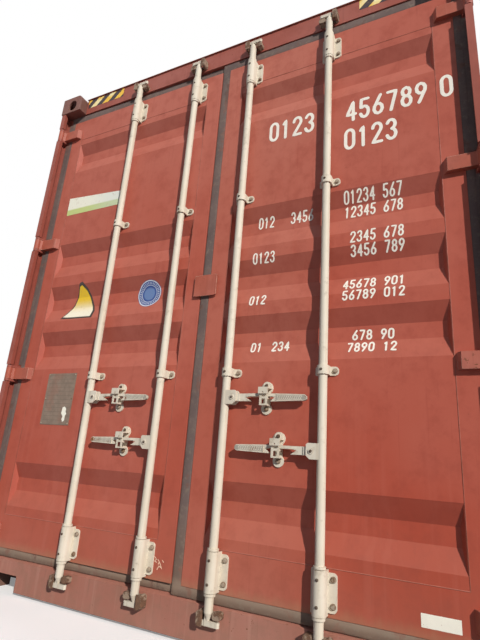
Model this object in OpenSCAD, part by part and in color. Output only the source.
// Dry freight container, forty foot high cube, with two lock-rod doors.
// +X points out through the doors, +Y is to the right of someone facing them, +Z is up.
// The origin is the centre of the footprint, on the ground.

/* [Overall] */
// Length over the corner castings
length = 12192; // [8000:1:12192]
// Width over the corner castings
width = 2438; // [2400:1:2500]
// Height over the corner castings
height = 2896; // [2591:1:2896]

/* [Corner castings] */
// Casting size along the container
cast_l = 178; // [170:1:190]
// Casting size across the container
cast_w = 162; // [155:1:170]
// Casting height
cast_h = 118; // [112:1:124]
// Thickness of the plate that holds the twistlock slot
cast_plate = 28; // [24:1:32]
// Thickness of the other casting walls
cast_wall = 12; // [8:1:12]
// Length of the twistlock slot
slot_l = 124; // [110:1:126]
// Width of the twistlock slot
slot_w = 63.5; // [56:0.5:66]
// Distance between slot centres along the container, taken off the length
slot_set_l = 207; // [204:0.5:210]
// Distance between slot centres across the container, taken off the width
slot_set_w = 179; // [176:0.5:182]
// Height of the hole in the end of a casting
end_hole_h = 74; // [66:1:76]
// Length of the hole in the side of a casting
side_hole_l = 80; // [70:1:90]
// Height of the hole in the side of a casting
side_hole_h = 51; // [44:1:58]
// Rounding of the upper inner edge of a rear casting
cast_round = 35; // [20:1:40]

/* [Frame] */
// Gap between the ground and the underside of the frame
base_gap = 12.5; // [8:0.5:16]
// Drop from the casting tops to the roof and rails
top_gap = 6; // [4:0.5:10]
// How far the posts and rails stand in from the casting faces
frame_inset = 6; // [4:0.5:8]
// Width and depth of a top side rail
rail_size = 60; // [50:1:70]
// Wall of the top rails
rail_wall = 3; // [2:0.5:5]
// Height of a bottom side rail
bottom_rail_h = 158; // [150:1:160]
// Top flange of a bottom side rail
bottom_rail_top = 48; // [44:1:60]
// Lower flange of a bottom side rail
bottom_rail_low = 30; // [20:1:40]
// Plate of the bottom side rails
bottom_rail_t = 4.5; // [3:0.5:6]
// Plate of the corner posts
post_t = 6; // [4:0.5:8]
// Width of a front corner post across the container
front_post_w = 112; // [90:1:130]
// Thickness of the channel inside a rear post
channel_t = 10; // [8:1:12]
// Depth of that channel along the container
channel_depth = 113; // [100:1:130]
// Width of the lip at the edge of a rear post
post_lip = 25; // [20:1:26]
// Plate of the header and the sills
sill_t = 4.5; // [3:0.5:6]
// Depth of the header box
header_depth = 70; // [60:1:90]
// Depth of the sloping top of the door sill
sill_slope_depth = 70; // [60:1:90]
// Length of the cut-outs in the door sill
sill_cut_l = 177; // [150:1:200]
// Height of the top of those cut-outs above the ground
sill_cut_top = 80; // [70:1:90]
// Height of the door sill at its face
sill_face_top = 140; // [130:1:150]

/* [Walls and roof] */
// Thickness of the side wall and roof sheet
sheet_t = 2; // [1.5:0.1:3]
// Depth of the side wall corrugation
side_depth = 36; // [30:1:40]
// Flat of the side wall corrugation
side_flat = 71; // [60:1:80]
// Slope of the side wall corrugation along the wall
side_slope = 68; // [55:1:75]
// Depth of the front wall corrugation
front_depth = 45; // [36:1:48]
// Outer flat of the front wall corrugation
front_flat = 107; // [95:1:115]
// Slope of the front wall corrugation
front_slope = 18; // [15:1:30]
// Depth of a roof trough
roof_depth = 20; // [14:1:24]
// Flat bottom of a roof trough
roof_flat = 91; // [80:1:100]
// Slope at the edge of a roof trough
roof_slope = 13.5; // [10:0.5:20]
// Flat margin of the roof beside the troughs
roof_margin = 90; // [75:1:120]
// Reach of the roof sheet past the face of the door header
roof_lip = 8; // [2:1:12]
// Length of a roof corner plate
corner_plate_l = 300; // [200:1:400]
// Width of a roof corner plate
corner_plate_w = 240; // [200:1:250]
// Thickness of a roof corner plate
corner_plate_t = 3; // [2:0.5:4]

/* [Floor] */
// Thickness of the floor boards
board_t = 28; // [24:1:30]
// Number of boards in each row
board_count = 5; // [3:1:8]
// Width of the steel strip between the rows of boards
centre_rail_w = 28; // [20:1:34]
// Height of a cross member
cross_h = 122; // [110:1:124]
// Flange of a cross member
cross_flange = 45; // [35:1:50]
// Plate of a cross member
cross_t = 4; // [3:0.5:5]
// Largest spacing between cross members
cross_pitch = 480; // [400:1:560]
// Length of the tunnel for a gooseneck trailer
tunnel_l = 3275; // [3100:1:3400]
// Width of the tunnel
tunnel_w = 1029; // [1000:1:1060]
// Height of the tunnel above the ground
tunnel_h = 120; // [110:1:122]
// Plate of the tunnel
tunnel_t = 4; // [3:0.5:5]

/* [Doors] */
// How far the door faces stand in from the casting faces
door_inset = 60; // [56:1:64]
// How far the header and sill faces stand in
rear_face_inset = 56; // [54:1:58]
// Depth of the door frame tubes
door_t = 50; // [44:1:54]
// Wall of the door frame tubes
door_tube_t = 3.2; // [2:0.2:5]
// Height of the underside of the doors
door_bottom = 186; // [180:1:196]
// Drop from the container's top to the top of the doors
door_top_drop = 168; // [160:1:180]
// Gap between a door and its rear post, filled by the seal
door_side_gap = 35; // [32:1:42]
// Half of the gap between the two doors
door_centre_gap = 24; // [20:1:30]
// Width of the door stiles
stile_w = 85; // [75:1:100]
// Height of the upper and lower door rails
door_rail_h = 149; // [130:1:160]
// Depth of a pressed recess in a door panel
recess_depth = 25; // [18:1:30]
// Height of a recess at the door face
recess_h = 210; // [190:1:220]
// Slope above and below the flat of a recess
recess_slope = 74; // [60:1:80]
// Slope at the two ends of a recess
recess_end_slope = 14; // [8:1:40]
// Spacing of the three middle recesses
recess_pitch = 272; // [250:1:290]
// Distance from the door rails to the middle of the outer recesses
recess_margin = 146; // [135:1:160]
// Thickness of the seal round the doors
seal_t = 9; // [6:1:12]
// Reach of the seal's skirt over the face of a rear post
seal_lap = 22; // [10:1:26]
// Clearance between a seal and what it closes on
seal_clear = 1; // [0.5:0.5:3]

/* [Hinges] */
// Number of hinges on a door
hinge_count = 4; // [3:1:5]
// Height of the lowest hinge above the underside of the door
hinge_low = 74; // [70:1:160]
// Distance of the highest hinge from the top of the door
hinge_high = 108; // [80:1:160]
// Height of a hinge blade
blade_h = 62; // [50:1:70]
// Distance of the pin from the casting faces
pin_inset = 19; // [19:0.5:21]
// Radius of the hinge pin
pin_r = 10; // [8:0.5:11]
// Wall of the hinge eye round the pin
eye_wall = 6.9; // [5:0.1:7]
// Thickness of a hinge lug on the post
lug_t = 12; // [8:1:14]
// Reach of a blade past the door edge
blade_reach = 78; // [60:1:84]

/* [Lock rods] */
// Radius of a lock rod
rod_r = 17; // [15:0.5:18]
// Distance of a rod's axis from the casting faces
rod_inset = 30; // [29:0.5:31]
// Distance of the inner rods from the middle of the container
rod_inner = 171; // [160:1:190]
// Distance between the two rods of a door
rod_spacing = 417; // [400:1:440]
// Height of an end bracket
end_bracket_h = 140; // [120:1:150]
// Height of the plate ear of an end bracket
end_ear_h = 122; // [100:1:130]
// Height of the lower end brackets above the underside of the door
bracket_low_margin = 76; // [72:1:100]
// Distance of the upper end brackets from the top of the door
bracket_high_margin = 100; // [76:1:110]
// Height of a guide bracket
guide_h = 35; // [30:1:45]
// Height of the upper guide brackets
guide_upper = 1868; // [1700:1:1900]
// Height of the lower guide brackets
guide_lower = 1022; // [1000:1:1060]
// Wall of a rod bracket
bracket_t = 6; // [4:0.5:7]
// Reach of a bracket ear to the right of the rod
ear_reach = 55; // [50:1:60]
// Reach of a bracket flange to the left of the rod
flange_reach = 37; // [32:1:42]
// Gap between a rod and what it turns in
rod_clear = 0.4; // [0.2:0.1:1]
// Radius of a rod collar
collar_r = 22; // [20:0.5:24]
// Height of a rod collar
collar_h = 9; // [6:1:12]
// Gap between a collar and its bracket
collar_gap = 1.5; // [1:0.5:4]

/* [Cams and keepers] */
// Height of the underside of a lower cam
cam_low = 84; // [78:1:88]
// Drop from the container's top to the top of an upper cam
cam_high_drop = 58; // [54:1:64]
// Height of a cam foot
toe_h = 18; // [12:1:20]
// Length of a cam from its foot to the rod
cam_h = 52; // [46:1:60]
// Reach of a cam foot from the rod's axis
toe_reach = 48; // [44:1:56]
// Reach of a cam nose behind its keeper
nose_reach = 23; // [21:0.5:24]
// Height of a keeper
keeper_h = 53; // [50:1:58]
// Reach of a keeper's ear from the rod's axis
keeper_ear = 44; // [42:1:48]
// Reach of the stub over a cam foot from the rod's axis
keeper_stub = 52; // [46:1:58]

/* [Handles] */
// Height of the upper handles
handle_upper = 916; // [880:1:930]
// Height of the lower handles
handle_lower = 718; // [680:1:740]
// Length of a handle from the rod's axis
handle_l = 355; // [330:1:365]
// Height of a handle bar
handle_h = 31; // [28:1:34]
// Thickness of a handle bar
handle_t = 10; // [8:1:12]
// Height of a grip at the end of its handle
grip_end_h = 24; // [20:1:28]
// Distance of the handle pivot from the rod's axis
pivot_reach = 37; // [34:1:42]
// Thickness of a grip
grip_t = 15; // [12:1:18]
// Distance from the rod's axis to the start of the grip
grip_from = 229; // [226:1:240]
// Radius of the handle rivet
rivet_r = 6; // [5:0.5:8]
// Reach of a rod hub from the rod's axis
hub_w = 56; // [54:1:64]
// Height of a rod hub
hub_h = 58; // [54:1:64]
// Distance of a handle retainer from the rod's axis
retainer_reach = 178; // [170:1:186]
// Radius of a catch rivet
catch_rivet_r = 5; // [4:0.5:6]

/* [Fittings] */
// Width of the data plate
data_plate_w = 200; // [150:1:240]
// Height of the data plate
data_plate_h = 265; // [200:1:280]
// Distance of the data plate from the hinged edge of its door
data_plate_set = 210; // [180:1:240]
// Height of the middle of the data plate
data_plate_z = 912; // [880:1:1000]
// Width of the plate over the joint of the doors
overlap_w = 120; // [100:1:140]
// Height of the plate over the joint of the doors
overlap_h = 105; // [80:1:120]
// Height of that plate on the doors
overlap_z = 1445; // [1400:1:1500]
// Drop of a side vent below the top rail
vent_drop = 130; // [80:1:200]
// Height of a side vent
vent_h = 90; // [70:1:110]

/* [Hidden] */
$fn = 64;
cut = 1;

paint = "#a2503f";
paint_dark = "#8c4436";
cream = "#ddd2b8";
rubber = "#6f6760";
rust = "#7d5a3c";
timber = "#8a6a45";
galvanised = "#8d8478";

half_l = length / 2;
half_w = width / 2;
frame_y = half_w - frame_inset;
roof_top = height - top_gap;
rail_top = roof_top - sheet_t;
rail_low = rail_top - rail_size;
floor_top = base_gap + bottom_rail_h;
board_low = floor_top - board_t;
board_gap = 1;
board_w = frame_y - bottom_rail_top - centre_rail_w / 2 - 2 * board_gap;

wall_y = frame_y - 2;
post_fold = 30;
post_front = 3;
rail_fold = 45;
sill_back = 25;
sill_back_drop = 20;
sill_lining = 60;
wall_lap = 2;
vent_first = side_flat + side_slope + side_flat / 2;

// Rear frame
door_top = height - door_top_drop;
channel_y = half_w - frame_inset - post_t - 37;
door_edge = channel_y - door_side_gap;
header_low = height - cast_h;
seal_top = header_low - seal_clear;
seal_low = sill_face_top + 9;
channel_front = door_inset + 4;

// Hinges
pin_x = half_l - pin_inset;
pin_y = half_w - pin_inset;
eye_r = pin_r + eye_wall;
hinge_pitch = (door_top - door_bottom - hinge_low - hinge_high) / (hinge_count - 1);
hinge_z = [for (i = [0 : hinge_count - 1]) door_bottom + hinge_low + i * hinge_pitch];
lug_gap = 1;
hinge_half = blade_h / 2 + lug_gap + lug_t;
notch_gap = 3;
notch_depth = 9;
lug_root = 4;
gusset = 6;
pin_head = 2;
eye_clear = 0.1;

// Lock gear
rod_x = half_l - rod_inset;
rod_outer = rod_inner + rod_spacing;
cam_top = height - cam_high_drop;
bracket_high = door_top - bracket_high_margin;
bracket_low = door_bottom + bracket_low_margin;
hat_r = rod_r + rod_clear + bracket_t;
door_gap = door_inset - rod_inset;
weld = 3;
face_gap = rear_face_inset - rod_inset;

// Handle retainers and catches
ear_set = 42;
upper_ear_r = 25;
lower_ear_r = 23;
rest_z = 4;
catch_rise = 50;
catch_t = 5;
catch_play = 0.3;
catch_inset = door_inset - bracket_t - 2 * catch_play - catch_t;
rivet_cap = 3.2;
rivet_rim = 2;
hub_half = 16;
tang_half = 9;

// Each rod: place across, direction in which its handle points, height of the handle
left_outer_gear = [-rod_outer, 1, handle_upper];
left_inner_gear = [-rod_inner, -1, handle_lower];
right_inner_gear = [rod_inner, 1, handle_upper];
right_outer_gear = [rod_outer, -1, handle_lower];

// A flat outline in the plane of the doors, given as across and up, made solid between two insets
module elevation(inset, thick)
  translate([half_l - inset - thick, 0, 0])
    rotate([90, 0, 90])
      linear_extrude(thick)
        children();

module both_sides() {
  children();
  mirror([0, 1, 0]) children();
}

function left_normal(a, b) = [a[1] - b[1], b[0] - a[0]] / norm(b - a);
function bend(p, i) =
  i == 0 ? left_normal(p[0], p[1])
  : i == len(p) - 1 ? left_normal(p[i - 1], p[i])
  : let (n1 = left_normal(p[i - 1], p[i]), n2 = left_normal(p[i], p[i + 1])) (n1 + n2) / (1 + n1 * n2);
// The outline of a sheet bent along a path, t thick on the left of the path as it is drawn
function strip(p, t) = concat(p, [for (i = [len(p) - 1 : -1 : 0]) p[i] + t * bend(p, i)]);
// Points given as inset from the rear casting faces and distance across
function rear_plan(p) = [for (q = p) [half_l - q[0], q[1]]];
function front_plan(p) = [for (q = p) [q[0] - half_l, q[1]]];
// A corrugated path from one end to the other, between the heights a and b
function wave(from, to, flat, slope, a, b) =
  let (
    pitch = 2 * (flat + slope),
    count = floor((to - from - flat) / pitch),
    start = (from + to - count * pitch - flat) / 2
  )
  concat(
    [[from, a]],
    [for (i = [0 : count - 1]) each [
      [start + i * pitch + flat, a],
      [start + i * pitch + flat + slope, b],
      [start + i * pitch + 2 * flat + slope, b],
      [start + (i + 1) * pitch, a]
    ]],
    [[to, a]]
  );

module round_slot(l, w) {
  square([l - w, w], center = true);
  for (s = [-1, 1])
    translate([s * (l - w) / 2, 0])
      circle(w / 2);
}

module round_plate(w, h, r) {
  square([w, h - 2 * r], center = true);
  square([w - 2 * r, h], center = true);
  for (a = [-1, 1], b = [-1, 1])
    translate([a * (w / 2 - r), b * (h / 2 - r)])
      circle(r);
}

// One casting, with its outer corner at the origin and its body towards -X, -Y and -Z
module casting(inner_r = 0) {
  slot_x = slot_set_l / 2;
  slot_y = slot_set_w / 2;
  hollow_h = cast_h - cast_plate - cast_wall;
  difference() {
    translate([-cast_l, 0, 0])
      rotate([90, 0, 90])
        linear_extrude(cast_l)
          casting_end(inner_r);
    translate([cast_wall - cast_l, cast_wall - cast_w, cast_wall - cast_h])
      cube([cast_l - 2 * cast_wall, cast_w - 2 * cast_wall, hollow_h]);
    translate([-slot_x, -slot_y, -cast_plate - cut])
      linear_extrude(cast_plate + 2 * cut)
        round_slot(slot_l, slot_w);
    translate([-cast_wall - cut, -slot_y, cast_wall + hollow_h / 2 - cast_h])
      rotate([90, 0, 90])
        linear_extrude(cast_wall + 2 * cut)
          rotate(90)
            round_slot(end_hole_h, slot_w);
    translate([-slot_x, cut, cast_wall + hollow_h / 2 - cast_h])
      rotate([90, 0, 0])
        linear_extrude(cast_wall + 2 * cut)
          round_slot(side_hole_l, side_hole_h);
  }
}

module casting_end(inner_r)
  if (inner_r > 0) {
    translate([-cast_w, -cast_h]) square([cast_w, cast_h - inner_r]);
    translate([inner_r - cast_w, -cast_h]) square([cast_w - inner_r, cast_h]);
    translate([inner_r - cast_w, -inner_r]) circle(inner_r);
  } else {
    translate([-cast_w, -cast_h]) square([cast_w, cast_h]);
  }

module corner_castings()
  color(paint)
    for (a = [0, 1], b = [0, 1])
      mirror([a, 0, 0])
        mirror([0, b, 0]) {
          translate([half_l, half_w, height]) casting(a == 0 ? cast_round : 0);
          translate([half_l, half_w, 0]) mirror([0, 0, 1]) casting();
        }

module between_castings()
  translate([0, 0, cast_h])
    linear_extrude(height - 2 * cast_h)
      children();

module front_posts()
  color(paint)
    both_sides()
      between_castings()
        polygon(front_plan(strip([
          [cast_l, frame_y], [frame_inset, frame_y],
          [frame_inset, half_w - front_post_w], [frame_inset + post_fold, half_w - front_post_w]
        ], post_t)));

// The pressed outer post wraps a channel; it is notched where the hinge eyes turn
module right_post() {
  difference() {
    union() {
      between_castings()
        polygon(rear_plan(strip([
          [post_lip, frame_y - post_lip - post_t], [post_front, frame_y - post_lip - post_t],
          [post_front, frame_y], [cast_l, frame_y]
        ], -post_t)));
      between_castings()
        polygon(rear_plan(strip([
          [channel_front, frame_y - post_t], [channel_front, channel_y],
          [channel_front + channel_depth, channel_y], [channel_front + channel_depth, frame_y - post_t]
        ], channel_t)));
    }
    for (z = hinge_z)
      translate([pin_x - eye_r - notch_depth, channel_y, z - hinge_half - notch_gap])
        cube([channel_front, width, 2 * (hinge_half + notch_gap)]);
  }
}

module right_rear_post()
  color(paint) right_post();

module left_rear_post()
  color(paint)
    mirror([0, 1, 0])
      right_post();

module across(w)
  translate([0, w / 2, 0])
    rotate([90, 0, 0])
      linear_extrude(w)
        children();

module casting_cuts()
  both_sides()
    for (a = [0, 1], z = [0, height - cast_h])
      mirror([a, 0, 0])
        translate([half_l - cast_l, half_w - cast_w, z])
          cube([cast_l + 1, cast_w + 1, cast_h]);

module door_header()
  color(paint)
    difference() {
      across(2 * (half_w - cast_w))
        difference() {
          polygon(rear_plan([
            [rear_face_inset, header_low], [rear_face_inset, rail_top],
            [rear_face_inset + header_depth, rail_top], [rear_face_inset + header_depth, header_low]
          ]));
          polygon(rear_plan([
            [rear_face_inset + sill_t, header_low + sill_t], [rear_face_inset + sill_t, rail_top - sill_t],
            [rear_face_inset + header_depth - sill_t, rail_top - sill_t],
            [rear_face_inset + header_depth - sill_t, header_low + sill_t]
          ]));
        }
      casting_cuts();
    }

module door_sill()
  color(paint_dark) {
    cut_y = half_w - cast_w - sill_cut_l;
    both_sides()
      elevation(rear_face_inset, sill_lining)
        difference() {
          translate([cut_y - sill_t, base_gap])
            square([sill_cut_l + sill_t, sill_cut_top + sill_t - base_gap]);
          translate([cut_y, base_gap - cut])
            square([sill_cut_l + cut, sill_cut_top + cut - base_gap]);
        }
    difference() {
      across(2 * channel_y)
        polygon(rear_plan(strip([
          [rear_face_inset + rail_fold, base_gap], [rear_face_inset, base_gap],
          [rear_face_inset, sill_face_top], [rear_face_inset + sill_slope_depth, floor_top],
          [rear_face_inset + sill_slope_depth + sill_back, floor_top],
          [rear_face_inset + sill_slope_depth + sill_back, base_gap + sill_back_drop]
        ], -sill_t)));
      casting_cuts();
      both_sides()
        translate([half_l - cast_l, cut_y, -cut])
          cube([cast_l, sill_cut_l + cut, sill_cut_top + cut]);
    }
  }

module front_top_rail()
  color(paint)
    across(2 * (half_w - cast_w))
      translate([frame_inset - half_l, rail_low])
        difference() {
          square(rail_size);
          translate([rail_wall, rail_wall]) square(rail_size - 2 * rail_wall);
        }

module front_bottom_rail()
  color(paint)
    difference() {
      across(2 * (half_w - front_post_w))
        polygon(front_plan(strip([
          [frame_inset + rail_fold, floor_top - wall_lap], [frame_inset, floor_top - wall_lap],
          [frame_inset, base_gap], [frame_inset + rail_fold, base_gap]
        ], sill_t)));
      translate([-half_l - cut, -tunnel_w / 2 - tunnel_t, -cut])
        cube([cast_l, tunnel_w + 2 * tunnel_t, tunnel_h + tunnel_t + cut]);
      casting_cuts();
    }

module front_wall()
  color(paint)
    difference() {
      translate([0, 0, floor_top - wall_lap])
        linear_extrude(rail_low - floor_top + wall_lap)
          polygon([for (q = strip(
            wave(front_post_w - half_w, half_w - front_post_w, front_flat, front_slope,
              frame_inset - half_l, frame_inset + front_depth - half_l), sheet_t)) [q[1], q[0]]]);
      casting_cuts();
    }

module top_side_rails()
  color(paint)
    both_sides()
      translate([cast_l - half_l, frame_y - rail_size, rail_low])
        rotate([90, 0, 90])
          linear_extrude(length - 2 * cast_l)
            difference() {
              square(rail_size);
              translate([rail_wall, rail_wall]) square(rail_size - 2 * rail_wall);
            }

module bottom_side_rails()
  color(paint)
    both_sides()
      translate([cast_l - half_l, 0, 0])
        rotate([90, 0, 90])
          linear_extrude(length - 2 * cast_l)
            polygon(strip([
              [frame_y - bottom_rail_low, base_gap], [frame_y, base_gap],
              [frame_y, floor_top], [frame_y - bottom_rail_top, floor_top]
            ], bottom_rail_t));

module side_wall()
  translate([0, 0, floor_top])
    linear_extrude(rail_low - floor_top)
      polygon(strip(
        wave(cast_l - half_l, half_l - cast_l, side_flat, side_slope, wall_y, wall_y - side_depth),
        -sheet_t));

module right_side_wall()
  color(paint) side_wall();

module left_side_wall()
  color(paint)
    mirror([0, 1, 0])
      side_wall();

// One pressed trough, closed by a slope on all four sides; grow makes the outside of the sheet
module roof_trough(x, grow) {
  trough_y = frame_y - roof_margin;
  intersection() {
    translate([x, 0, roof_top])
      across(width)
        polygon([
          [-roof_flat / 2 - roof_slope - grow, 0], [roof_flat / 2 + roof_slope + grow, 0],
          [roof_flat / 2 + grow, -roof_depth - grow], [-roof_flat / 2 - grow, -roof_depth - grow]
        ]);
    translate([x - roof_flat, 0, roof_top])
      rotate([90, 0, 90])
        linear_extrude(2 * roof_flat)
          polygon([
            [-trough_y - grow, 0], [trough_y + grow, 0],
            [trough_y - roof_slope + grow, -roof_depth - grow],
            [roof_slope - trough_y - grow, -roof_depth - grow]
          ]);
  }
}

module roof_panel()
  color(paint) {
    roof_l = length - 2 * cast_l;
    pitch = 2 * (roof_flat + roof_slope);
    count = floor((roof_l - 2 * corner_plate_l) / pitch);
    difference() {
      union() {
        translate([frame_inset - half_l, cast_w - half_w, roof_top - sheet_t])
          cube([length - frame_inset - rear_face_inset + roof_lip, width - 2 * cast_w, sheet_t]);
        translate([-roof_l / 2, roof_margin / 4 - frame_y, roof_top - sheet_t])
          cube([roof_l, 2 * frame_y - roof_margin / 2, sheet_t]);
        for (i = [0 : count - 1])
          roof_trough((i - (count - 1) / 2) * pitch, sheet_t);
      }
      for (i = [0 : count - 1])
        roof_trough((i - (count - 1) / 2) * pitch, 0);
    }
  }

module roof_corner_plates()
  color(paint)
    both_sides()
      for (a = [0, 1])
        mirror([a, 0, 0])
          translate([half_l - cast_l - corner_plate_l, half_w - cast_w - corner_plate_w / 2, roof_top])
            cube([corner_plate_l, corner_plate_w, corner_plate_t]);

// Cross members stop short of the tunnel and go on beside it as outriggers
module cross_members()
  color(paint_dark) {
    span = frame_y - bottom_rail_t;
    end_margin = 60;
    first = cast_l - half_l + end_margin;
    last = half_l - cast_l - end_margin - 20;
    count = ceil((last - first) / cross_pitch) + 1;
    step = (last - first) / (count - 1);
    difference() {
      for (i = [0 : count - 1])
        translate([first + i * step, 0, 0])
          across(2 * span)
            polygon(strip([
              [cross_flange, board_low - cross_h], [0, board_low - cross_h],
              [0, board_low], [cross_flange, board_low]
            ], -cross_t));
      translate([-half_l, -tunnel_w / 2 - tunnel_t, -cut])
        cube([tunnel_l + tunnel_t, tunnel_w + 2 * tunnel_t, height]);
    }
  }

module gooseneck_tunnel()
  color(paint_dark) {
    difference() {
      translate([-half_l + frame_inset, -tunnel_w / 2 - tunnel_t, base_gap])
        cube([tunnel_l + tunnel_t - frame_inset, tunnel_w + 2 * tunnel_t, tunnel_h + tunnel_t - base_gap]);
      translate([-half_l - cut, -tunnel_w / 2, -cut])
        cube([tunnel_l + cut, tunnel_w, tunnel_h + cut]);
    }
    bow_count = 9;
    bow_w = 40;
    bow_first = 120;
    bow_step = (tunnel_l - bow_first - 2 * bow_w) / (bow_count - 1);
    for (i = [0 : bow_count - 1])
      translate([bow_first + i * bow_step - half_l, -tunnel_w / 2 - tunnel_t, tunnel_h + tunnel_t])
        cube([bow_w, tunnel_w + 2 * tunnel_t, board_low - tunnel_h - tunnel_t]);
  }

module floor_boards()
  color(timber)
    both_sides() {
      from = frame_inset + front_depth + 5 - half_l;
      to = half_l - rear_face_inset - sill_slope_depth - sill_back;
      board_l = (to - from) / board_count;
      for (i = [0 : board_count - 1])
        translate([from + i * board_l, centre_rail_w / 2 + board_gap, board_low])
          cube([board_l - 2 * board_gap, board_w, board_t]);
    }

module floor_centre_rail()
  color(paint_dark) {
    from = frame_inset + front_depth + 5 - half_l;
    to = half_l - rear_face_inset - sill_slope_depth - sill_back - 2;
    translate([from, -centre_rail_w / 2, board_low])
      cube([to - from, centre_rail_w, board_t]);
  }

module side_vents()
  color(paint)
    both_sides() {
      pitch = 2 * (side_flat + side_slope);
      wall_l = length - 2 * cast_l;
      count = floor((wall_l - side_flat) / pitch);
      start = -(count * pitch + side_flat) / 2;
      vent_set = 4;
      reach = side_slope * (1 - vent_set / side_depth);
      slat_pitch = 11;
      slat_gap = 5;
      slat_depth = 10;
      for (i = [1, count - 2])
        translate([start + i * pitch + vent_first, wall_y - side_depth, rail_low - vent_drop])
          difference() {
            translate([0, 0, -vent_h / 2])
              linear_extrude(vent_h)
                polygon([
                  [1 - side_flat / 2, 0], [side_flat / 2 - 1, 0],
                  [side_flat / 2 - 1 + reach, side_depth - vent_set],
                  [1 - side_flat / 2 - reach, side_depth - vent_set]
                ]);
            for (k = [-3 : 3])
              translate([
                -side_flat / 2 - 20, side_depth - vent_set - slat_depth, k * slat_pitch - slat_gap / 2
              ])
                cube([side_flat + 40, 2 * slat_depth, slat_gap]);
          }
    }

// The lugs stand out from the channel of the rear post and hold the pin
module right_lugs()
  for (z = hinge_z) {
    translate([pin_x, pin_y, z - hinge_half - pin_head])
      cylinder(r = pin_r, h = 2 * (hinge_half + pin_head));
    for (s = [0, 1])
      translate([0, 0, s == 0 ? z - hinge_half : z + hinge_half - lug_t])
        linear_extrude(lug_t) {
          translate([pin_x, pin_y]) circle(eye_r);
          polygon(rear_plan([
            [channel_front, channel_y + lug_root], [channel_front, frame_y - post_t],
            [pin_inset + eye_r, frame_y - post_t], [pin_inset, half_w - pin_inset + eye_r],
            [pin_inset, half_w - pin_inset - eye_r]
          ]));
        }
  }

module hinge_lugs()
  color(paint)
    both_sides() right_lugs();

module right_blades()
  for (z = hinge_z)
    translate([0, 0, z - blade_h / 2])
      linear_extrude(blade_h)
        difference() {
          union() {
            translate([pin_x, pin_y]) circle(eye_r);
            polygon(rear_plan([
              [pin_inset + eye_r, pin_y], [pin_inset + eye_r, door_edge - blade_reach + 14],
              [door_inset, door_edge - blade_reach], [door_inset, pin_y - 22],
              [pin_inset + eye_r + 4, pin_y - 4]
            ]));
            polygon(rear_plan([
              [pin_inset + gusset, pin_y - eye_r + 1], [pin_inset + gusset, pin_y],
              [pin_inset + eye_r, pin_y], [pin_inset + eye_r, pin_y - eye_r - gusset]
            ]));
          }
          translate([pin_x, pin_y]) circle(pin_r + eye_clear);
        }

module right_hinge_blades()
  color(paint) right_blades();

module left_hinge_blades()
  color(paint)
    mirror([0, 1, 0])
      right_blades();

// Stiles and rails are tubes, joined at the corners into one frame
module frame_ring(shrink)
  difference() {
    translate([door_centre_gap + shrink, door_bottom + shrink])
      square([door_edge - door_centre_gap - 2 * shrink, door_top - door_bottom - 2 * shrink]);
    translate([door_centre_gap + stile_w - shrink, door_bottom + door_rail_h - shrink])
      square([
        door_edge - door_centre_gap - 2 * stile_w + 2 * shrink,
        door_top - door_bottom - 2 * door_rail_h + 2 * shrink
      ]);
  }

module right_frame()
  difference() {
    elevation(door_inset, door_t) frame_ring(0);
    elevation(door_inset + door_tube_t, door_t - 2 * door_tube_t) frame_ring(door_tube_t);
  }

module right_door_frame()
  color(paint) right_frame();

module left_door_frame()
  color(paint)
    mirror([0, 1, 0])
      right_frame();

// The outline of one pressed recess: up and down it follows one profile, along it another
module recess(z, grow) {
  panel_from = door_centre_gap + stile_w;
  panel_to = door_edge - stile_w;
  end = recess_end_slope;
  intersection() {
    across(width)
      polygon(rear_plan([
        [door_inset, z - recess_h / 2 - grow], [door_inset, z + recess_h / 2 + grow],
        [door_inset + recess_depth + grow, z + recess_h / 2 - recess_slope + grow],
        [door_inset + recess_depth + grow, z - recess_h / 2 + recess_slope - grow]
      ]));
    translate([0, 0, z - recess_h])
      linear_extrude(2 * recess_h)
        polygon(rear_plan([
          [door_inset, panel_from + weld - grow], [door_inset, panel_to - weld + grow],
          [door_inset + recess_depth + grow, panel_to - weld - end + grow],
          [door_inset + recess_depth + grow, panel_from + weld + end - grow]
        ]));
  }
}

module right_panel() {
  panel_low = door_bottom + door_rail_h;
  panel_high = door_top - door_rail_h;
  middle = (panel_low + panel_high) / 2 - 10;
  places = [
    panel_low + recess_margin, middle - recess_pitch, middle, middle + recess_pitch,
    panel_high - recess_margin
  ];
  difference() {
    union() {
      elevation(door_inset, sheet_t)
        translate([door_centre_gap + stile_w, panel_low])
          square([door_edge - door_centre_gap - 2 * stile_w, panel_high - panel_low]);
      for (z = places) recess(z, sheet_t);
    }
    for (z = places) recess(z, 0);
  }
}

module right_door_panel()
  color(paint) right_panel();

module left_door_panel()
  color(paint)
    mirror([0, 1, 0])
      right_panel();

// A lip fills the gap round the door, a bulb runs behind it and a skirt laps over the post between the hinges
module right_seal() {
  edge = channel_y - seal_clear;
  lip_inset = door_inset + 3;
  skirt_t = 2;
  bulb_w = 10;
  bulb_t = 24;
  module beside_door(from, to)
    difference() {
      translate(from) square(to - from);
      translate([door_centre_gap, door_bottom])
        square([door_edge - door_centre_gap, door_top - door_bottom]);
    }
  elevation(lip_inset, seal_t)
    beside_door([seal_clear, seal_low], [edge, seal_top]);
  elevation(lip_inset + seal_t, bulb_t)
    beside_door([door_centre_gap - bulb_w, door_bottom - bulb_w], [door_edge + bulb_w, door_top + bulb_w]);
  elevation(lip_inset - skirt_t, skirt_t)
    difference() {
      translate([door_edge, door_bottom])
        square([edge + seal_lap - door_edge, door_top - door_bottom]);
      for (z = hinge_z)
        translate([edge, z - hinge_half - 2 * notch_gap])
          square([seal_lap + cut, 2 * (hinge_half + 2 * notch_gap)]);
    }
}

module right_door_seal()
  color(rubber) right_seal();

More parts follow.
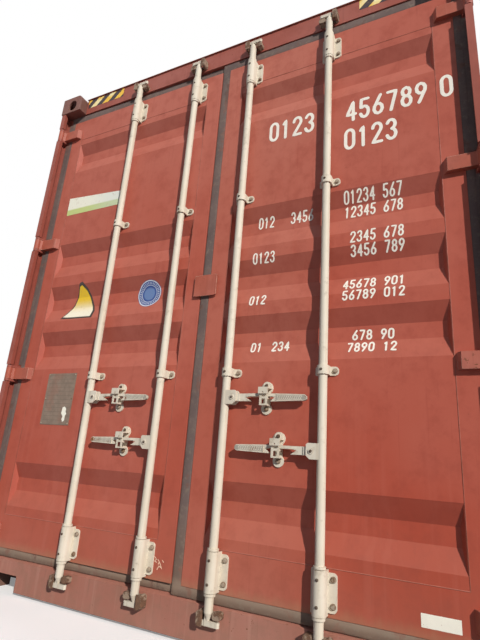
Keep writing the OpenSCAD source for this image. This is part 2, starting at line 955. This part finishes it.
module left_door_seal()
  color(rubber)
    mirror([0, 1, 0])
      right_seal();

// The hat round a rod, in plan, with the rod's axis at the origin and the door towards -X
module hat_plan() {
  difference() {
    union() {
      circle(hat_r);
      translate([-door_gap, -hat_r]) square([door_gap, 2 * hat_r]);
    }
    circle(rod_r + rod_clear);
    translate([-door_gap - 1, -rod_r - rod_clear]) square([door_gap + 1, 2 * (rod_r + rod_clear)]);
  }
}

module rod_bracket(y, z, tall, ear) {
  ear_round = 14;
  flange_round = 5;
  translate([rod_x, y, z - tall / 2])
    linear_extrude(tall)
      hat_plan();
  elevation(door_inset - bracket_t, bracket_t)
    difference() {
      translate([y, z])
        union() {
          translate([ear_reach / 2, 0])
            round_plate(ear_reach, ear, min(ear / 2 - 0.5, ear_round));
          translate([-flange_reach / 2, 0])
            round_plate(flange_reach, tall, flange_round);
        }
      translate([y - rod_r - rod_clear, z - tall])
        square([2 * (rod_r + rod_clear), 2 * tall]);
    }
}

// The retainer: two round ears on a neck, a shelf under the handle and a fork of two hooks before it
module retainer(gear) {
  y = gear[0] + gear[1] * retainer_reach;
  z = gear[2];
  plate_inset = door_inset - bracket_t;
  neck_w = 30;
  shelf_w = 34;
  shelf_h = 9;
  shelf_gap = 1;
  hook_w = 9;
  hook_t = 4;
  hook_inset = rod_inset - 14;
  hook_top = rest_z + 4;
  hook_low = -32;
  arm_h = 6;
  elevation(plate_inset, bracket_t)
    translate([y, z]) {
      translate([0, ear_set]) circle(upper_ear_r);
      translate([0, -ear_set]) circle(lower_ear_r);
      square([neck_w, 2 * ear_set], center = true);
    }
  for (low = [rest_z - shelf_gap - shelf_h, hook_low])
    elevation(hook_inset, plate_inset - hook_inset)
      translate([y - shelf_w / 2, z + low])
        square([shelf_w, low == hook_low ? arm_h : shelf_h]);
  for (side = [-1, 1])
    elevation(hook_inset, hook_t)
      translate([y + side * (shelf_w - hook_w) / 2 - hook_w / 2, z + hook_low])
        square([hook_w, hook_top - hook_low]);
  elevation(catch_inset - catch_play - rivet_cap, plate_inset - catch_inset + catch_play + rivet_cap)
    translate([y, z + catch_rise])
      circle(catch_rivet_r);
  elevation(catch_inset - catch_play - rivet_cap, rivet_cap)
    translate([y, z + catch_rise])
      circle(catch_rivet_r + rivet_rim);
}

module lock_brackets(gears)
  color(cream)
    for (g = gears) {
      for (z = [bracket_low, bracket_high]) rod_bracket(g[0], z, end_bracket_h, end_ear_h);
      for (z = [guide_lower, guide_upper]) rod_bracket(g[0], z, guide_h, guide_h);
      retainer(g);
    }

module left_lock_brackets() lock_brackets([left_outer_gear, left_inner_gear]);

module right_lock_brackets() lock_brackets([right_inner_gear, right_outer_gear]);

// A cam in its closed place: a forged stem beside the axis, a foot towards +Y and a nose towards -Y
module cam() {
  stem_out = 6;
  stem_in = 10;
  stem_left = 12;
  stem_w = 15;
  root_h = 8;
  foot_round = 8;
  nose_t = 10;
  translate([-stem_in, -stem_left, 0]) cube([stem_in + stem_out, stem_w, cam_h]);
  translate([0, 0, cam_h - root_h]) cylinder(r = rod_r, h = root_h);
  translate([0, 0, toe_h]) cylinder(r1 = stem_out, r2 = rod_r, h = cam_h - root_h - toe_h);
  translate([-stem_in, 0, 0]) cube([stem_in + stem_out, toe_reach - foot_round, toe_h]);
  translate([-(stem_in - stem_out) / 2, toe_reach - foot_round, 0]) cylinder(r = foot_round, h = toe_h);
  translate([-stem_out, -nose_reach, 0]) cube([nose_t, nose_reach, toe_h]);
}

// The hub is a clevis: two plates welded to the rod, with the handle's rivet through them
module hub() {
  cheek_t = 6;
  chamfer_low = 14;
  chamfer_high = 6;
  head_t = 3;
  for (s = [-1, 1])
    translate([s * (hub_half - cheek_t / 2) - cheek_t / 2, 0, 0])
      rotate([90, 0, 90])
        linear_extrude(cheek_t)
          polygon([
            [0, -hub_h / 2], [hub_w - chamfer_low, -hub_h / 2], [hub_w, chamfer_low - hub_h / 2],
            [hub_w, hub_h / 2 - chamfer_high], [hub_w - chamfer_high, hub_h / 2], [0, hub_h / 2]
          ]);
  translate([-hub_half - 1, pivot_reach, 0])
    rotate([0, 90, 0])
      cylinder(r = rivet_r, h = 2 * hub_half + 2);
  translate([hub_half, pivot_reach, 0])
    rotate([0, 90, 0])
      cylinder(r = rivet_r + 4, h = head_t);
}

module lock_rod(gear)
  color(cream)
    translate([rod_x, gear[0], 0])
      mirror([0, gear[1] > 0 ? 0 : 1, 0]) {
        translate([0, 0, cam_low + cam_h])
          cylinder(r = rod_r, h = cam_top - cam_low - 2 * cam_h);
        translate([0, 0, cam_low]) cam();
        translate([0, 0, cam_top]) mirror([0, 0, 1]) cam();
        for (z = [bracket_low, bracket_high], s = [-1, 1])
          translate([0, 0, z + s * (end_bracket_h / 2 + collar_gap + collar_h / 2)])
            cylinder(r = collar_r, h = collar_h, center = true);
        translate([0, 0, gear[2]]) hub();
      }

module left_outer_rod() lock_rod(left_outer_gear);
module left_inner_rod() lock_rod(left_inner_gear);
module right_inner_rod() lock_rod(right_inner_gear);
module right_outer_rod() lock_rod(right_outer_gear);

// A flat bar that is turned flat side up where it lies in the retainer, then upright again as the grip
module handle(gear) {
  h = handle_h / 2;
  tang_reach = 12;
  twist_from = 95;
  twist_to = 120;
  flat_to = retainer_reach + 26;
  tongue = 7;
  flat_out = 8;
  flat_in = 16;
  end_r = grip_end_h / 2;
  round_y = handle_l - end_r;
  t = handle_t / 2;
  color(cream)
    translate([rod_x, gear[0], gear[2]])
      mirror([0, gear[1] > 0 ? 0 : 1, 0])
        difference() {
          union() {
            rotate([90, 0, 90]) {
              translate([0, 0, -t])
                linear_extrude(handle_t)
                  polygon([
                    [pivot_reach, h], [grip_from, h], [grip_from, -h], [flat_to, -h], [grip_from - tongue, 0],
                    [flat_to, rest_z], [twist_to, rest_z], [twist_from, 0], [twist_to, -h], [pivot_reach, -h]
                  ]);
              translate([0, 0, -grip_t / 2])
                linear_extrude(grip_t) {
                  polygon([[grip_from, h], [round_y, end_r], [round_y, -end_r], [grip_from, -h]]);
                  translate([round_y, 0]) circle(end_r);
                }
              translate([0, 0, -tang_half])
                linear_extrude(2 * tang_half) {
                  translate([pivot_reach, 0]) circle(h);
                  translate([pivot_reach, -h]) square([hub_w - pivot_reach + tang_reach, 2 * h]);
                }
            }
            translate([0, 0, rest_z])
              linear_extrude(h - rest_z)
                polygon([
                  [-t, twist_from], [t, twist_from], [flat_out, twist_to], [flat_out, flat_to],
                  [t, grip_from], [-t, grip_from], [-flat_in, flat_to], [-flat_in, twist_to]
                ]);
          }
          translate([-hub_half, pivot_reach, 0])
            rotate([0, 90, 0])
              cylinder(r = rivet_r + eye_clear, h = 2 * hub_half);
        }
}

module left_outer_handle() handle(left_outer_gear);
module left_inner_handle() handle(left_inner_gear);
module right_inner_handle() handle(right_inner_gear);
module right_outer_handle() handle(right_outer_gear);

// The catch turns on its rivet beside the door, steps out over the handle and hangs before it
module catch(gear) {
  head_r = 17;
  shoulder = 11;
  foot_half = 21;
  foot_drop = 37;
  foot_out = rod_inset - 22;
  foot_in = foot_out + 4.5;
  step_high = 8;
  step_low = 10;
  lock_r = 3;
  color(cream)
    translate([0, gear[0] + gear[1] * retainer_reach, gear[2] + catch_rise])
      difference() {
        union() {
          elevation(catch_inset, catch_t) circle(head_r);
          intersection() {
            across(width)
              polygon(rear_plan([
                [catch_inset + catch_t, 0], [catch_inset, 0], [catch_inset, -step_high],
                [foot_out, -step_low], [foot_out, -foot_drop], [foot_in, -foot_drop],
                [foot_in, -step_low - catch_t], [catch_inset + catch_t, -step_high - catch_t]
              ]));
            elevation(0, width)
              polygon([
                [-head_r, 0], [head_r, 0], [foot_half, -shoulder], [foot_half, -foot_drop],
                [-foot_half, -foot_drop], [-foot_half, -shoulder]
              ]);
          }
        }
        elevation(0, width) circle(catch_rivet_r + catch_play);
        elevation(0, width) translate([0, 6 - foot_drop]) circle(lock_r);
      }
}

module left_outer_catch() catch(left_outer_gear);
module left_inner_catch() catch(left_inner_gear);
module right_inner_catch() catch(right_inner_gear);
module right_outer_catch() catch(right_outer_gear);

// A keeper for a lower cam: an ear with a lip before the cam's nose, and a stub over its foot
module keeper() {
  lip_out = 14;
  lip_in = 8;
  lip_edge = 19;
  ear_w = 14;
  ear_round = 12;
  stub_from = 19;
  stub_out = 6;
  stub_low = toe_h + 3 + 6;
  stub_h = keeper_h - stub_low;
  stub_w = keeper_stub - stub_from;
  back_t = 6;
  back_h = stub_h - 6;
  intersection() {
    linear_extrude(keeper_h)
      polygon([
        [-face_gap, -keeper_ear], [lip_out, -keeper_ear], [lip_out, -lip_edge], [lip_in, -lip_edge],
        [lip_in, ear_w - keeper_ear], [-face_gap, ear_w - keeper_ear]
      ]);
    rotate([90, 0, 90])
      translate([0, 0, -length])
        linear_extrude(2 * length)
          translate([keeper_h - keeper_ear, keeper_h / 2])
            round_plate(2 * keeper_h, keeper_h, ear_round);
  }
  translate([-face_gap, stub_from + stub_w / 2, stub_low + stub_h / 2])
    rotate([90, 0, 90])
      linear_extrude(face_gap + stub_out)
        round_plate(stub_w, stub_h, 8);
  translate([-face_gap, 2 - keeper_ear, keeper_h - back_h])
    cube([back_t, keeper_ear + stub_from + 6, back_h - 4]);
}

module cam_keepers()
  color(rust)
    for (g = [left_outer_gear, left_inner_gear, right_inner_gear, right_outer_gear])
      translate([rod_x, g[0], 0])
        mirror([0, g[1] > 0 ? 0 : 1, 0]) {
          translate([0, 0, cam_low - 3]) keeper();
          translate([0, 0, cam_top + 3]) mirror([0, 0, 1]) keeper();
        }

module data_plate()
  color(galvanised)
    elevation(door_inset - 2, 2)
      translate([data_plate_set + data_plate_w / 2 - door_edge, data_plate_z])
        square([data_plate_w, data_plate_h], center = true);

module overlap_plate() {
  plate_t = 6;
  pad_t = 8;
  pad_w = 36;
  pad_margin = 8;
  color(paint) {
    elevation(door_inset - pad_t - plate_t, plate_t)
      translate([plate_t, overlap_z])
        round_plate(overlap_w, overlap_h, plate_t);
    elevation(door_inset - pad_t, pad_t)
      translate([door_centre_gap + 2 + pad_w / 2, overlap_z])
        square([pad_w, overlap_h - 2 * pad_margin], center = true);
  }
}

corner_castings();
front_posts();
left_rear_post();
right_rear_post();
door_header();
door_sill();
front_top_rail();
front_bottom_rail();
front_wall();
top_side_rails();
bottom_side_rails();
left_side_wall();
right_side_wall();
roof_panel();
roof_corner_plates();
cross_members();
gooseneck_tunnel();
floor_boards();
floor_centre_rail();
side_vents();
hinge_lugs();
cam_keepers();
left_door_frame();
left_door_panel();
left_door_seal();
left_hinge_blades();
left_lock_brackets();
data_plate();
right_door_frame();
right_door_panel();
right_door_seal();
right_hinge_blades();
right_lock_brackets();
overlap_plate();
left_outer_rod();
left_inner_rod();
right_inner_rod();
right_outer_rod();
left_outer_handle();
left_inner_handle();
right_inner_handle();
right_outer_handle();
left_outer_catch();
left_inner_catch();
right_inner_catch();
right_outer_catch();
